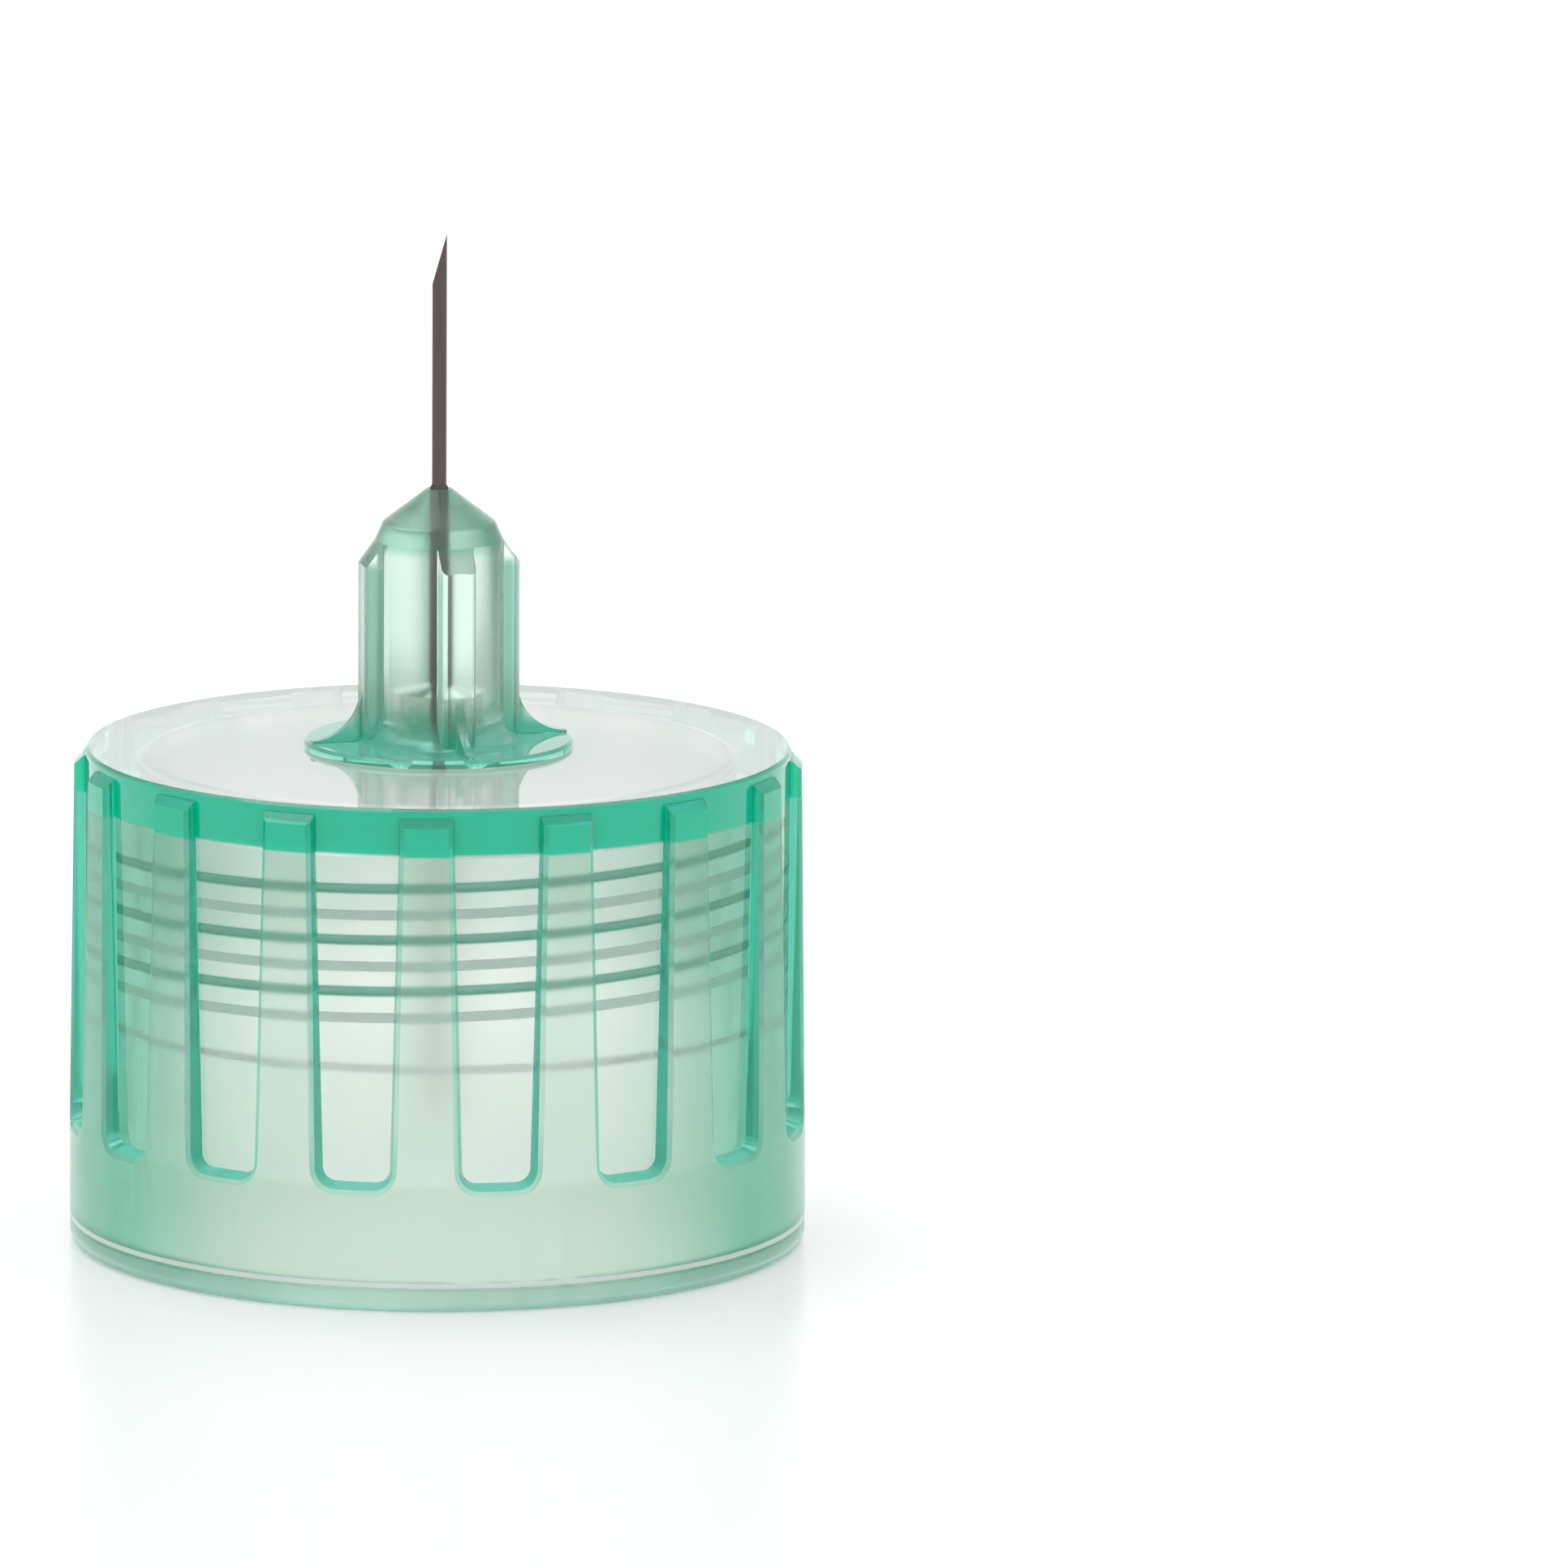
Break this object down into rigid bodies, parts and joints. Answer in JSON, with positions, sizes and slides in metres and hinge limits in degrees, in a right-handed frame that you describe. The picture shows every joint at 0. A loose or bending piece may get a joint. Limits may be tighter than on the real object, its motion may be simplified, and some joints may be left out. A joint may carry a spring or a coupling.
{
  "type": "pen needle",
  "caption": "Single-use pen needle: clear ribbed screw-on hub with an inner thread, a finned centre post and a fine double-ended steel cannula bonded through it.",
  "frame": {"origin": "centre of the plane of the rim that the hub stands on, on the needle's axis", "axes": "+Z along the needle towards its patient tip; X and Y run through the middles of four of the grip's lands, and the post's four fins stand 17 degrees round from them; the points are ground so that each tip lies on the +X side"},
  "size_m": [0.0115, 0.0114, 0.0159],
  "materials": {
    "hub_plastic": "clear teal-tinted polypropylene, glossy from a polished mould, soft satin on the lands",
    "needle_steel": "drawn stainless steel with a thin lubricant film, bright ground points",
    "clear_bond": "clear light-cured adhesive"
  },
  "bodies": {
    "root": {"hub": "hub_plastic", "cannula": "needle_steel", "adhesive": "clear_bond"}
  },
  "joints": []
}
